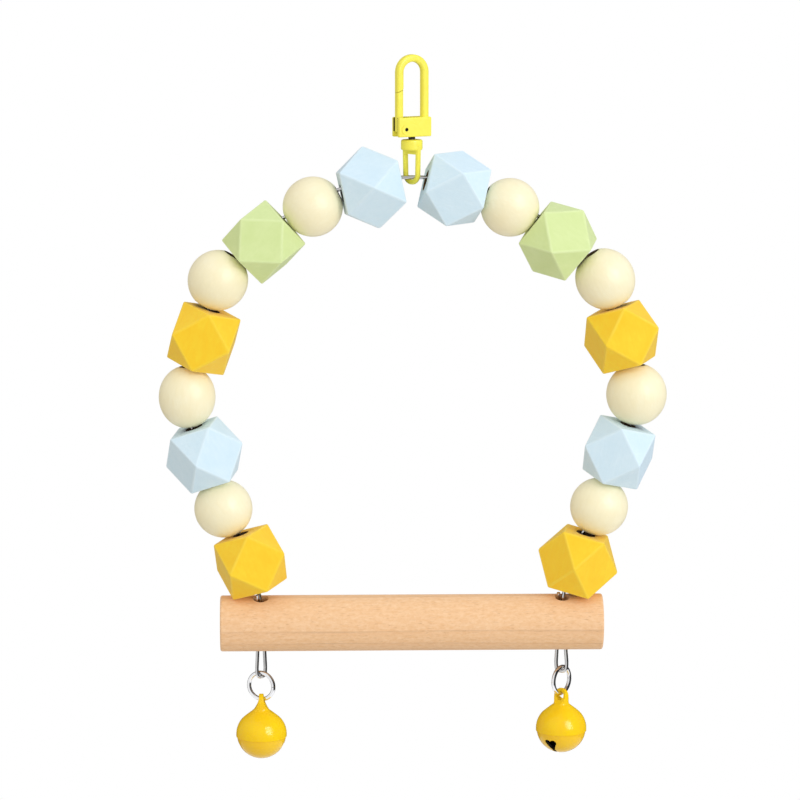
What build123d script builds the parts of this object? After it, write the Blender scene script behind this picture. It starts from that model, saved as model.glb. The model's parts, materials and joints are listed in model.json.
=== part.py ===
from build123d import *
import os
from math import acos, cos, radians, sin, sqrt, tan

# Bird swing: a beaded wire arch that hangs from a swivel snap hook,
# with a wooden perch across its feet and a jingle bell under each foot.
# Millimetres, Z up, X along the perch, Y away from the viewer.
# The origin is the centre of the cage bar that the hook hangs on.

# Snap hook
BAR_SEAT_RADIUS = 1.95
HOOK_ROD_WIDTH = 1.4
HOOK_ROD_DEPTH = 1.6
HOOK_ROD_ROUND = 0.5
HOOK_DROP = 8.45
HOOK_TIP_DROP = 3.4
TIP_SLANT = 24.0
BLOCK_WIDTH = 6.9
BLOCK_DEPTH = 3.1
BLOCK_HEIGHT = 3.7
BLOCK_ROUND = 0.25
HOOK_YAW = 25.0

# Gate, rivet and torsion spring
GATE_WIDTH = 1.32
GATE_DEPTH = 1.45
GATE_SIDE_PLAY = 0.14
GATE_END_GAP = 0.12
PIVOT_INSET = 1.45
PIVOT_RISE = 1.45
GATE_TAIL_RADIUS = 0.75
RIVET_RADIUS = 0.42
RIVET_HEAD_RADIUS = 0.95
RIVET_HEAD_DEPTH = 0.14
RIVET_HOLLOW_RADIUS = 0.32
RIVET_HOLLOW_DEPTH = 0.5
RIVET_FIT = 0.01
RUNNING_CLEARANCE = 0.05
SPRING_WIRE = 0.2
SPRING_COIL_RADIUS = 0.62
SPRING_HALF_PITCH = 0.19
SPRING_LEG = 1.55

# Swivel eye
SWIVEL_GAP = 0.6
POST_RADIUS = 0.65
POST_HEAD_RADIUS = 0.85
POST_HEAD_HEIGHT = 0.6
BLOCK_FLOOR = 1.3
COLLAR_RADIUS = 2.05
COLLAR_HEIGHT = 2.0
COLLAR_ROUND = 0.35
EYE_ROD = 1.0
EYE_HALF_SPAN = 1.8
EYE_BOTTOM_HALF = 1.6
EYE_BEND = 1.5
EYE_HEIGHT = 8.55
EYE_BRIDGE = 0.75
EYE_YAW = -48.0

# Arch wire
WIRE = 0.7
CONTACT_CLEARANCE = 0.05
TOP_GAP = 5.0
ARCH_SWEEP = 127.0
LEG_LEAN = 13.0
RETURN_RADIUS = 17.0
LEG_BEND_RADIUS = 6.0
LOOP_HALF_WIDTH = 1.05
LOOP_DROP = {"left": 5.55, "right": 4.75}
LOOP_YAW = {"left": 40.0, "right": -15.0}
TAIL_RISE = 0.6

# Beads, from the top of each side downwards
FACET_ACROSS = 11.4
FACET_ROUND = 0.4
ROUND_DIAMETER = 11.3
ROUND_WIDER = {"left": [0.15, 0.15, -0.45, -0.15], "right": [-0.15, 0.0, 0.3, -0.15]}
ROUND_LONGER = {"left": [0.15, 0.35, 0.75, -0.1], "right": [-0.15, 0.6, 0.6, -0.15]}
BORE = 4.0
BORE_BREAK = 0.25
BEAD_GAP = 0.25
BEAD_COLOURS = ["blue", "cream", "green", "cream", "orange", "cream", "blue", "cream", "orange"]
BEAD_HANG = {
    "left": [1.2, 1.05, 1.15, -1.0, 1.0, -0.6, 1.1, 0.3, -0.15],
    "right": [1.35, 1.3, 1.35, -1.05, 0.6, -0.8, 1.05, 0.35, -1.25],
}
BEAD_SLIP = {
    "left": [-0.2, 0.2, 0.48, 0.12, -0.1, 0.0, 0.1, -0.23, -0.25],
    "right": [0.22, 0.22, 0.26, 0.15, 0.0, -0.15, -0.08, -0.25, -0.18],
}
BEAD_FORWARD = {
    "left": [0.0, 0.0, 0.0, 0.0, 0.0, 0.0, 0.0, 0.0, 1.1],
    "right": [0.0, 0.0, 0.0, 0.0, 0.0, 0.0, 0.0, 0.0, 0.6],
}
BEAD_TILT = {
    "left": [0.8, 0, -0.6, 0, -1.1, 0, 4.5, 0, 5.5],
    "right": [4.4, 0, -4.0, 0, -0.4, 0, 2.2, 0, 1.4],
}
BEAD_LEAN = {
    "left": [-5.0, 0, -1.9, 0, 3.1, 0, 3.0, 0, -1.1],
    "right": [3.5, 0, -4.0, 0, -2.1, 0, 4.5, 0, 3.0],
}
BEAD_SPIN = {
    "left": [-41, 0, 8.7, 0, 4, 0, -33, 0, -15],
    "right": [17, 0, -29.5, 0, -18.7, 0, 16.8, 0, -36],
}
ROUND_COLOUR = "cream"

# Perch
PERCH_DIAMETER = 10.8
PERCH_OVERHANG = 7.8
PERCH_EDGE = 0.4
PERCH_HOLE = 2.5
HOLE_TILT = 15.0
PERCH_HOLE_BREAK = 0.3
PERCH_BEAD_CLEARANCE = 0.05

# Jump rings
RING_WIRE = 0.8
RING_OUTER = 6.0
RING_CUT = 0.08
RING_YAW = {"left": -25.0, "right": 50.0}

# Jingle bells
BELL_RADIUS = 4.9
BELL_WALL = 0.35
BELL_SEAM_STEP = 0.13
BELL_SKIRT = 0.45
BELL_FIT = 0.03
TAB_RADIUS = 1.42
TAB_THICKNESS = 0.84
TAB_SCOOP = 4.0
TAB_HOLE = 1.7
TAB_HOLE_RISE = 6.5
SLIT_WIDTH = 0.75
HEART_LOBE = 0.66
HEART_LOBE_SPREAD = 0.55
HEART_LENGTH = 2.2
HEART_DIP = 33.0
TAB_YAW = {"left": 88.0, "right": -38.0}
SLIT_YAW = {"left": 178.0, "right": 57.0}
PELLET_RADIUS = 1.7
PELLET_GAP = 0.2

SIDES = {"left": -1, "right": 1}

# How far a cut runs on past the face where it comes out
OVERCUT = 1.0

# Derived heights and offsets
arm_x = BAR_SEAT_RADIUS + HOOK_ROD_WIDTH / 2
block_top = -HOOK_DROP
block_bottom = block_top - BLOCK_HEIGHT
slot_width = GATE_DEPTH + 2 * GATE_SIDE_PLAY
pivot_x = PIVOT_INSET - arm_x - HOOK_ROD_WIDTH / 2
pivot_z = block_bottom + PIVOT_RISE
rivet_line = Pos(pivot_x, 0, pivot_z) * Rot(90, 0, 0)
slot_end_x = pivot_x + GATE_TAIL_RADIUS + 2 * RUNNING_CLEARANCE
spring_front = -GATE_DEPTH / 2 + RUNNING_CLEARANCE + SPRING_WIRE / 2
spring_back = spring_front + 3 * SPRING_HALF_PITCH + SPRING_WIRE / 2 + RUNNING_CLEARANCE
collar_top = block_bottom - SWIVEL_GAP
eye_bottom_z = collar_top - EYE_HEIGHT + EYE_ROD / 2
wire_top_z = eye_bottom_z + EYE_ROD / 2 + WIRE / 2 + CONTACT_CLEARANCE

facet_half = FACET_ACROSS / 2
round_half = ROUND_DIAMETER / 2
bead_pitch = facet_half + round_half + BEAD_GAP
bead_count = len(BEAD_COLOURS)
first_bead = TOP_GAP / 2 + facet_half
last_bead = first_bead + (bead_count - 1) * bead_pitch
end_heading = radians(ARCH_SWEEP)
leg_heading = radians(90 + LEG_LEAN)
return_length = RETURN_RADIUS * (end_heading - leg_heading)
ARCH_RADIUS = (last_bead - return_length) / end_heading
arch_length = ARCH_RADIUS * end_heading


def along_arch(length):
    """Point and heading on the right half of the arch, a length down from its top."""
    if length <= arch_length:
        heading = length / ARCH_RADIUS
        x = ARCH_RADIUS * sin(heading)
        z = wire_top_z - ARCH_RADIUS * (1 - cos(heading))
        return x, z, heading
    heading = max(end_heading - (length - arch_length) / RETURN_RADIUS, leg_heading)
    x = ARCH_RADIUS * sin(end_heading) + RETURN_RADIUS * (sin(end_heading) - sin(heading))
    z = wire_top_z - ARCH_RADIUS * (1 - cos(end_heading))
    z -= RETURN_RADIUS * (cos(heading) - cos(end_heading))
    return x, z, heading


def bead_place(side, index):
    """Centre, mirrored to the right half, and heading of a bead."""
    x, z, heading = along_arch(first_bead + index * bead_pitch + BEAD_SLIP[side][index])
    hang = BEAD_HANG[side][index]
    return x - hang * sin(heading), z - hang * cos(heading), heading


def bead_frame(side, index):
    """Frame of a bead: Z down its bore, X out of one square side face."""
    x, z, heading = bead_place(side, index)
    way = SIDES[side]
    heading += radians(BEAD_TILT[side][index])
    lean = radians(BEAD_LEAN[side][index])
    bore = Vector(way * cos(heading) * cos(lean), sin(lean), -sin(heading) * cos(lean))
    front = Vector(0, -1, 0)
    front = (front - bore * bore.dot(front)).normalized()
    spin = radians(BEAD_SPIN[side][index])
    facing = front * cos(spin) + bore.cross(front) * sin(spin)
    return Plane(origin=(way * x, -BEAD_FORWARD[side][index], z), x_dir=facing, z_dir=bore)


def perch_height(side):
    """Highest perch axis that clears the lower face of the last bead on one side."""
    frame = bead_frame(side, bead_count - 1)
    soft = FACET_ROUND * (1 - sqrt(0.5))
    corners = [(facet_half, 0), (0, facet_half), (-facet_half, 0), (0, -facet_half)]
    heights = []
    for (ax, ay), (bx, by) in zip(corners, corners[1:] + corners[:1]):
        for step in range(10):
            t = step / 10
            inset = 0 if step else soft
            reach = 1 - inset / facet_half
            local = Vector((ax + (bx - ax) * t) * reach, (ay + (by - ay) * t) * reach, facet_half - inset)
            point = frame.from_local_coords(local)
            if abs(point.Y) < PERCH_DIAMETER / 2:
                heights.append(point.Z - sqrt((PERCH_DIAMETER / 2) ** 2 - point.Y ** 2))
    return min(heights) - PERCH_BEAD_CLEARANCE


leg_x, leg_z, _ = along_arch(last_bead)
leg_lean = radians(LEG_LEAN)
hole_tilt = radians(HOLE_TILT)
perch_z = min(perch_height(side) for side in SIDES)
perch_top = perch_z + PERCH_DIAMETER / 2
perch_bottom = perch_z - PERCH_DIAMETER / 2
bend_z = perch_top - WIRE
hole_x = leg_x - (leg_z - bend_z) * tan(leg_lean)
perch_length = 2 * (hole_x + PERCH_OVERHANG)


def bent_edges(points, radii):
    """Straight runs between points, joined by tangent bends of the given radii."""
    edges = []
    here = points[0]
    for before, corner, after, radius in zip(points, points[1:], points[2:], radii):
        back = (before - corner).normalized()
        ahead = (after - corner).normalized()
        turn = acos(max(-1.0, min(1.0, -back.dot(ahead))))
        if turn < 0.002:
            continue
        set_back = radius * tan(turn / 2)
        start = corner + back * set_back
        end = corner + ahead * set_back
        middle = corner + (back + ahead).normalized() * (radius / cos(turn / 2) - radius)
        edges.append(Line(here, start))
        edges.append(ThreePointArc(start, middle, end))
        here = end
    edges.append(Line(here, points[-1]))
    return edges


def make_snap_hook():
    """U-shaped hook of rounded flat rod, standing on a block with a slot for the gate."""
    section = RectangleRounded(HOOK_ROD_WIDTH, HOOK_ROD_DEPTH, HOOK_ROD_ROUND)
    bend = revolve(Plane.XY * Pos(arm_x, 0) * section, Axis((0, 0, 0), (0, -1, 0)), 180)
    back_arm = Pos(arm_x, 0, 0) * extrude(section, -(HOOK_DROP + BLOCK_ROUND * 2))
    front_arm = Pos(-arm_x, 0, 0) * extrude(section, -(HOOK_TIP_DROP + HOOK_ROD_WIDTH))
    clear = 4 * HOOK_ROD_WIDTH
    below_tip = Box(clear, 2 * HOOK_ROD_DEPTH, clear, align=(Align.CENTER, Align.CENTER, Align.MAX))
    tip_cut = Pos(-arm_x, 0, -HOOK_TIP_DROP) * Rot(0, -TIP_SLANT, 0) * below_tip
    block = Box(BLOCK_WIDTH, BLOCK_DEPTH, BLOCK_HEIGHT)
    block = Pos(0, 0, block_top - BLOCK_HEIGHT / 2) * fillet(block.edges(), BLOCK_ROUND)
    hook = bend + back_arm + (front_arm - tip_cut) + block
    slot_length = BLOCK_WIDTH / 2 + slot_end_x + OVERCUT
    hook -= Pos(slot_end_x, 0, block_top - BLOCK_HEIGHT / 2) * Box(
        slot_length, slot_width, BLOCK_HEIGHT + OVERCUT, align=(Align.MAX, Align.CENTER, Align.CENTER)
    )
    hook -= rivet_line * Cylinder(RIVET_RADIUS + RIVET_FIT, BLOCK_DEPTH + OVERCUT)
    hook -= Pos(0, 0, block_bottom) * Cylinder(POST_RADIUS + RUNNING_CLEARANCE, 2 * BLOCK_FLOOR + OVERCUT)
    head_room = BLOCK_HEIGHT - BLOCK_FLOOR
    head_bore = POST_HEAD_RADIUS + RUNNING_CLEARANCE
    hook -= Pos(0, 0, block_top - head_room) * Cylinder(
        head_bore, head_room + OVERCUT, align=(Align.CENTER, Align.CENTER, Align.MIN)
    )
    return hook


def make_gate():
    """Flat arm that closes the mouth, with a tail plate that turns on the rivet."""
    outer = -(arm_x + HOOK_ROD_WIDTH / 2)
    inner = outer + GATE_WIDTH
    top = -HOOK_TIP_DROP - GATE_END_GAP / cos(radians(TIP_SLANT))
    rise = tan(radians(TIP_SLANT))
    top_outer = top + rise * (outer + arm_x)
    top_inner = top + rise * (inner + arm_x)
    knee = pivot_z + GATE_TAIL_RADIUS
    heel = pivot_z - GATE_TAIL_RADIUS * 0.6
    outline = Polyline(
        (outer, heel), (outer, top_outer), (inner, top_inner), (inner, knee),
        (pivot_x, knee), (pivot_x, pivot_z - GATE_TAIL_RADIUS), close=True,
    )
    face = make_face(outline) + Pos(pivot_x, pivot_z) * Circle(GATE_TAIL_RADIUS)
    gate = extrude(Plane.XZ * face, GATE_DEPTH / 2, both=True)
    long_edges = gate.edges().filter_by(Axis.Z).filter_by(lambda e: e.length > BLOCK_HEIGHT)
    gate = fillet(long_edges, GATE_DEPTH * 0.27)
    gate -= rivet_line * Cylinder(RIVET_RADIUS + RUNNING_CLEARANCE, 2 * GATE_DEPTH)
    reach = SPRING_COIL_RADIUS + SPRING_WIRE / 2 + RUNNING_CLEARANCE
    pocket_top = pivot_z + SPRING_LEG + RUNNING_CLEARANCE
    gate -= Pos(pivot_x - reach, spring_back, pocket_top) * Box(
        4 * reach, GATE_DEPTH, pocket_top - pivot_z + 2 * OVERCUT, align=(Align.MIN, Align.MAX, Align.MAX)
    )
    return gate


def make_rivet():
    """Rivet through both cheeks, its ends dished by the punch."""
    length = BLOCK_DEPTH + 2 * RIVET_HEAD_DEPTH
    rivet = Cylinder(RIVET_RADIUS, length)
    head = Cylinder(RIVET_HEAD_RADIUS, RIVET_HEAD_DEPTH)
    for end in (1, -1):
        rivet += Pos(0, 0, end * (length - RIVET_HEAD_DEPTH) / 2) * head
    for end in (1, -1):
        rivet -= Pos(0, 0, end * length / 2) * Cylinder(RIVET_HOLLOW_RADIUS, 2 * RIVET_HOLLOW_DEPTH)
    return rivet_line * rivet


def make_spring():
    """Torsion spring: a leg up the gate, one and a half turns round the rivet, a leg up the slot's end."""
    left = pivot_x - SPRING_COIL_RADIUS
    right = pivot_x + SPRING_COIL_RADIUS
    y = spring_front
    start = Vector(left, y, pivot_z + SPRING_LEG)
    edges = [Line(start, (left, y, pivot_z))]
    for turn, (a, b, way) in enumerate(((left, right, -1), (right, left, 1), (left, right, -1))):
        middle = (pivot_x, y + SPRING_HALF_PITCH / 2, pivot_z + way * SPRING_COIL_RADIUS)
        edges.append(ThreePointArc((a, y, pivot_z), middle, (b, y + SPRING_HALF_PITCH, pivot_z)))
        y += SPRING_HALF_PITCH
    edges.append(Line((right, y, pivot_z), (right, y, pivot_z + SPRING_LEG * 0.8)))
    section = Plane(origin=start, z_dir=(0, 0, -1)) * Circle(SPRING_WIRE / 2)
    return sweep(section, path=Wire(edges))


def make_swivel_eye():
    """Collar with a peened post above and a round-wire eye below."""
    collar = Cylinder(COLLAR_RADIUS, COLLAR_HEIGHT, align=(Align.CENTER, Align.CENTER, Align.MAX))
    collar = Pos(0, 0, collar_top) * fillet(collar.edges().filter_by(GeomType.CIRCLE), COLLAR_ROUND)
    head_base = block_bottom + BLOCK_FLOOR + RUNNING_CLEARANCE
    post_length = head_base - collar_top + COLLAR_HEIGHT / 2
    post = Pos(0, 0, head_base) * Cylinder(
        POST_RADIUS, post_length, align=(Align.CENTER, Align.CENTER, Align.MAX)
    )
    head = Cylinder(POST_HEAD_RADIUS, POST_HEAD_HEIGHT, align=(Align.CENTER, Align.CENTER, Align.MIN))
    head = Pos(0, 0, head_base) * fillet(head.edges().sort_by(Axis.Z)[-1:], POST_HEAD_HEIGHT / 2)
    shoulder = collar_top - COLLAR_HEIGHT / 2
    corners = [
        Vector(-EYE_HALF_SPAN, 0, shoulder), Vector(-EYE_BOTTOM_HALF, 0, eye_bottom_z),
        Vector(EYE_BOTTOM_HALF, 0, eye_bottom_z), Vector(EYE_HALF_SPAN, 0, shoulder),
    ]
    section = Plane(origin=corners[0], z_dir=corners[1] - corners[0]) * Circle(EYE_ROD / 2)
    loop = sweep(section, path=Wire(bent_edges(corners, [EYE_BEND, EYE_BEND])))
    bridge_height = COLLAR_HEIGHT / 2 + EYE_BRIDGE
    bridge = Pos(0, 0, shoulder) * Box(
        2 * EYE_HALF_SPAN, EYE_ROD, bridge_height, align=(Align.CENTER, Align.CENTER, Align.MAX)
    )
    return collar + post + head + loop + bridge


def foot_points(side):
    """Corner points and bend radii of the wire from its last bead to its cut end."""
    way = SIDES[side]
    yaw = radians(LOOP_YAW[side])
    along = Vector(cos(yaw), sin(yaw), 0)
    loop_z = perch_bottom - LOOP_DROP[side] + WIRE / 2
    leg_offset = along * ((PERCH_HOLE - WIRE) / 2 - 2 * RUNNING_CLEARANCE)
    wide = along * LOOP_HALF_WIDTH
    shoulder_z = loop_z + LOOP_HALF_WIDTH * 1.6
    foot_z = perch_bottom + WIRE

    def in_hole(z):
        return Vector(way * hole_x, -(z - perch_z) * tan(hole_tilt), z)

    def below(z):
        return Vector(way * hole_x, in_hole(foot_z).Y * (z - loop_z) / (foot_z - loop_z), z)

    points = [
        Vector(way * leg_x, 0, leg_z),
        in_hole(bend_z),
        in_hole(foot_z) + leg_offset,
        below(shoulder_z) + wide,
        below(loop_z) + wide * 0.9,
        below(loop_z) - wide * 0.9,
        below(shoulder_z) - wide,
        in_hole(foot_z) - leg_offset,
        in_hole(perch_top + TAIL_RISE) - leg_offset,
    ]
    easy = LEG_BEND_RADIUS
    tight = LOOP_HALF_WIDTH * 0.75
    return points, [easy, easy, easy, tight, tight, easy, easy]


def make_arch_wire():
    """One wire from the left cut end over the arch to the right cut end."""
    arc_x, arc_z, _ = along_arch(arch_length)
    mid_x, mid_z, _ = along_arch(arch_length + return_length / 2)
    edges = bent_edges(*foot_points("left"))
    edges.append(ThreePointArc((-leg_x, 0, leg_z), (-mid_x, 0, mid_z), (-arc_x, 0, arc_z)))
    edges.append(ThreePointArc((-arc_x, 0, arc_z), (0, 0, wire_top_z), (arc_x, 0, arc_z)))
    edges.append(ThreePointArc((arc_x, 0, arc_z), (mid_x, 0, mid_z), (leg_x, 0, leg_z)))
    edges += bent_edges(*foot_points("right"))
    path = Wire(edges)
    section = Plane(origin=path @ 0, z_dir=path % 0) * Circle(WIRE / 2)
    return sweep(section, path=path)


def make_facet_bead():
    """Cuboctahedron drilled through two opposite square faces, edges worn soft."""
    bead = Box(FACET_ACROSS, FACET_ACROSS, FACET_ACROSS)
    corner_reach = FACET_ACROSS / sqrt(3)
    wide = 2 * FACET_ACROSS
    for sx in (1, -1):
        for sy in (1, -1):
            for sz in (1, -1):
                outward = Vector(sx, sy, sz).normalized()
                bead -= Plane(origin=outward * corner_reach, z_dir=outward) * Box(
                    wide, wide, FACET_ACROSS, align=(Align.CENTER, Align.CENTER, Align.MIN)
                )
    bead = fillet(bead.edges(), FACET_ROUND)
    return drill_bead(bead, facet_half)


def make_round_bead(side, turned):
    """Turned ball drilled through its centre; each one left the lathe a little wider or longer."""
    half_width = (ROUND_DIAMETER + ROUND_WIDER[side][turned]) / 2
    half_length = (ROUND_DIAMETER + ROUND_LONGER[side][turned]) / 2
    if half_length == half_width:
        ball = Sphere(half_width)
    else:
        outline = EllipticalCenterArc((0, 0), half_width, half_length, start_angle=-90, arc_size=180)
        ball = revolve(Plane.XZ * make_face([outline, Line((0, half_length), (0, -half_length))]), Axis.Z)
    return drill_bead(ball, half_length * sqrt(1 - (BORE / 2 / half_width) ** 2))


def drill_bead(bead, half_length):
    """Bore along Z with a small broken edge at each mouth."""
    bead -= Cylinder(BORE / 2, 3 * half_length)
    for end in (0, 180):
        cone = Cone(BORE / 2, BORE / 2 + 2 * BORE_BREAK, 2 * BORE_BREAK)
        bead -= Rot(end, 0, 0) * Pos(0, 0, half_length) * cone
    return bead


def make_perch():
    """Dowel with broken end edges and a drilled hole for each foot of the wire."""
    perch = Rot(0, 90, 0) * Cylinder(PERCH_DIAMETER / 2, perch_length)
    perch = fillet(perch.edges().filter_by(GeomType.CIRCLE), PERCH_EDGE)
    for way in SIDES.values():
        hole = Pos(way * hole_x, 0, 0) * Rot(HOLE_TILT, 0, 0)
        perch -= hole * Cylinder(PERCH_HOLE / 2, 2 * PERCH_DIAMETER)
        for end in (0, 180):
            cone = Cone(PERCH_HOLE / 2, PERCH_HOLE / 2 + 2 * PERCH_HOLE_BREAK, 2 * PERCH_HOLE_BREAK)
            perch -= hole * Rot(end, 0, 0) * Pos(0, 0, PERCH_DIAMETER / 2) * cone
    return Pos(0, 0, perch_z) * perch


def make_jump_ring():
    """Round wire ring in the XZ plane with a butt cut on one side."""
    mean = (RING_OUTER - RING_WIRE) / 2
    ring = Rot(90, 0, 0) * Torus(mean, RING_WIRE / 2)
    return ring - Pos(mean, 0, 0) * Box(2 * RING_WIRE, 2 * RING_WIRE, RING_CUT)


def make_bell_cap():
    """Round upper half drawn up into a flattened eyelet; origin at the bell's centre."""
    r = BELL_RADIUS
    outside = Spline(
        (r, 0), (r * 0.955, r * 0.28), (r * 0.79, r * 0.58), (r * 0.54, r * 0.80), (r * 0.36, r * 0.94),
        (TAB_RADIUS, r * 1.10), tangents=((0, 1), (0, 1)),
    )
    inner_radius = r - BELL_WALL
    inner_top = r * 0.78
    inside = Spline(
        (inner_radius, 0), (r * 0.955 - BELL_WALL, r * 0.27), (r * 0.79 - BELL_WALL * 0.8, r * 0.53),
        (0, inner_top), tangents=((0, 1), (-1, 0)),
    )
    tab_top = TAB_HOLE_RISE + TAB_RADIUS
    tab_mid = (TAB_RADIUS * sin(radians(45)), TAB_HOLE_RISE + TAB_RADIUS * cos(radians(45)))
    profile = make_face([
        outside,
        Line((TAB_RADIUS, r * 1.10), (TAB_RADIUS, TAB_HOLE_RISE)),
        ThreePointArc((TAB_RADIUS, TAB_HOLE_RISE), tab_mid, (0, tab_top)),
        Line((0, tab_top), (0, inner_top)),
        inside,
        Line((inner_radius, 0), (inner_radius, -BELL_SKIRT)),
        Line((inner_radius, -BELL_SKIRT), (r, -BELL_SKIRT)),
        Line((r, -BELL_SKIRT), (r, 0)),
    ])
    cap = revolve(Plane.XZ * profile, Axis.Z)
    for way in (1, -1):
        scoop_y = way * (TAB_THICKNESS / 2 + TAB_SCOOP)
        cap -= Pos(0, scoop_y, tab_top - TAB_THICKNESS / 2) * Rot(0, 90, 0) * Cylinder(TAB_SCOOP, 2 * r)
    return cap - Pos(0, 0, TAB_HOLE_RISE) * Rot(90, 0, 0) * Cylinder(TAB_HOLE / 2, 2 * r)


def make_bell_cup():
    """Round lower half whose rim nests in the cap, with a slit that ends in two hearts."""
    outer = BELL_RADIUS - BELL_SEAM_STEP
    rim_outer = BELL_RADIUS - BELL_WALL - BELL_FIT
    inner = rim_outer - BELL_WALL
    low = -BELL_SKIRT - BELL_FIT
    start = (sqrt(outer ** 2 - low ** 2), low)
    half = cos(radians(45))
    profile = make_face([
        Line((inner, 0), (rim_outer, 0)),
        Line((rim_outer, 0), (rim_outer, low)),
        Line((rim_outer, low), start),
        ThreePointArc(start, (outer * half, -outer * half), (0, -outer)),
        Line((0, -outer), (0, -inner)),
        ThreePointArc((0, -inner), (inner * half, -inner * half), (inner, 0)),
    ])
    cup = revolve(Plane.XZ * profile, Axis.Z)
    dip = radians(HEART_DIP)
    slit_reach = inner * cos(radians(HEART_DIP + 12))
    cup -= Pos(0, 0, -inner * 0.5) * Box(
        2 * slit_reach, SLIT_WIDTH, outer, align=(Align.CENTER, Align.CENTER, Align.MAX)
    )
    heart_side = HEART_LOBE + HEART_LOBE_SPREAD
    heart = make_face(Polyline(
        (HEART_LOBE * 0.7, heart_side), (HEART_LOBE * 0.7, -heart_side), (-HEART_LENGTH, 0), close=True
    ))
    for way in (1, -1):
        heart += Pos(HEART_LOBE * 0.7, way * HEART_LOBE_SPREAD) * Circle(HEART_LOBE)
    outward = Vector(cos(dip), 0, -sin(dip))
    up_slope = Vector(sin(dip), 0, cos(dip))
    deep = 4 * BELL_WALL
    cutter = extrude(Plane(origin=outward * (inner - deep), x_dir=up_slope, z_dir=outward) * heart, 2 * deep)
    for turn in (0, 180):
        cup -= Rot(0, 0, turn) * cutter
    return cup


hook_frame = Rot(0, 0, HOOK_YAW)
pieces = {
    "snap_hook": hook_frame * make_snap_hook(),
    "gate": hook_frame * make_gate(),
    "gate_rivet": hook_frame * make_rivet(),
    "gate_spring": hook_frame * make_spring(),
    "swivel_eye": Rot(0, 0, EYE_YAW) * make_swivel_eye(),
    "arch_wire": make_arch_wire(),
    "perch": make_perch(),
}

facet_bead = make_facet_bead()
bead_centres = {}
for side in SIDES:
    for index, colour in enumerate(BEAD_COLOURS):
        frame = bead_frame(side, index)
        turned = BEAD_COLOURS[:index].count(ROUND_COLOUR)
        bead = make_round_bead(side, turned) if colour == ROUND_COLOUR else facet_bead
        name = f"{side}_bead_{index + 1}_{colour}"
        pieces[name] = frame * bead
        bead_centres[name] = (frame.origin, frame.z_dir)

ring_mean = (RING_OUTER - RING_WIRE) / 2
bell_cap = make_bell_cap()
bell_cup = make_bell_cup()
foot_heights = {}
for side, way in SIDES.items():
    loop_z = perch_bottom - LOOP_DROP[side] + WIRE / 2
    ring_top = loop_z + (WIRE + RING_WIRE) / 2 + CONTACT_CLEARANCE
    ring_z = ring_top - ring_mean
    ring_bottom = ring_z - ring_mean
    tab_hole_z = ring_bottom - (TAB_HOLE - RING_WIRE) / 2 + CONTACT_CLEARANCE
    bell_z = tab_hole_z - TAB_HOLE_RISE
    pellet_z = bell_z - (BELL_RADIUS - 2 * BELL_WALL - BELL_FIT - PELLET_RADIUS - PELLET_GAP)
    foot = Pos(way * hole_x, 0, 0)
    pieces[f"{side}_jump_ring"] = foot * Pos(0, 0, ring_z) * Rot(0, 0, RING_YAW[side]) * make_jump_ring()
    pieces[f"{side}_bell_cap"] = foot * Pos(0, 0, bell_z) * Rot(0, 0, TAB_YAW[side]) * bell_cap
    pieces[f"{side}_bell_cup"] = foot * Pos(0, 0, bell_z) * Rot(0, 0, SLIT_YAW[side]) * bell_cup
    pieces[f"{side}_bell_pellet"] = foot * Pos(0, 0, pellet_z) * Sphere(PELLET_RADIUS)
    foot_heights[side] = (loop_z, ring_bottom, bell_z, pellet_z)

os.makedirs("parts", exist_ok=True)
for name, shape in pieces.items():
    shape.label = name
    export_step(shape, f"parts/{name}.step")

print("arch radius", round(ARCH_RADIUS, 3), "wire top z", round(wire_top_z, 3))
print("perch z", round(perch_z, 3), "length", round(perch_length, 3), "hole x", round(hole_x, 3))
print("pivot", round(pivot_x, 3), round(pivot_z, 3), "block", round(block_top, 3), round(block_bottom, 3))
print("feet (loop, ring bottom, bell, pellet)", foot_heights)
for name, (centre, bore) in bead_centres.items():
    print(name, [round(v, 4) for v in centre], [round(v, 5) for v in bore])
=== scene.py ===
# %% [markdown]
# # A beaded bird swing
# This lesson dresses a small bird swing: a wire arch threaded with painted
# wooden beads, a turned perch, two jingle bells and a yellow snap hook.
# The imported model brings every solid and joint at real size, in metres. Most
# solids are already the right shape and only need a finish. The beads are
# made again here, because their soft edges and paint carry the whole look.

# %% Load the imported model
import json
import math
import random

import bmesh
import bpy
from mathutils import Matrix, Vector


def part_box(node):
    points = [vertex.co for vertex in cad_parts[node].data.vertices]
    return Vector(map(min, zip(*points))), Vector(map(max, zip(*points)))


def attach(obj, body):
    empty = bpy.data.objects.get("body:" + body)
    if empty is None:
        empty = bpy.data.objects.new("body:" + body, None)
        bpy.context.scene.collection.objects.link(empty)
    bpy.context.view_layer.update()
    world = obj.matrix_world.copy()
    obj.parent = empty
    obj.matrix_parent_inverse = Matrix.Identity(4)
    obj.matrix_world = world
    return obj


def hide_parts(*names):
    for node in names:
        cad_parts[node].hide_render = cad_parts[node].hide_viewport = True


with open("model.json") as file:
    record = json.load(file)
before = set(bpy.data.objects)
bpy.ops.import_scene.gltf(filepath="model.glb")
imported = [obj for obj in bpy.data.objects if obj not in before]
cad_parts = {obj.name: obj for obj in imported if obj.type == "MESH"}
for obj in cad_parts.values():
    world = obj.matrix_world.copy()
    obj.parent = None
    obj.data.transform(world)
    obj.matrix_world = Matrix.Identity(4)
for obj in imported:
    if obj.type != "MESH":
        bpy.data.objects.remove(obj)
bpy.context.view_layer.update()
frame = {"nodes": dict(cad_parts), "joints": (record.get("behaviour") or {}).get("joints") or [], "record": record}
nodes = frame["nodes"]
joints = {joint["name"]: joint for joint in frame["joints"]}
MM = 0.001

# %% [markdown]
# ## The camera
# The photograph looks at the swing from the front, a little above it and a
# hair to the left, through a long lens. Writing the view as an azimuth, an
# elevation and a distance is easier to adjust than a matrix. The lens follows
# from how many pixels one millimetre takes up in an 800 pixel wide picture.

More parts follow.
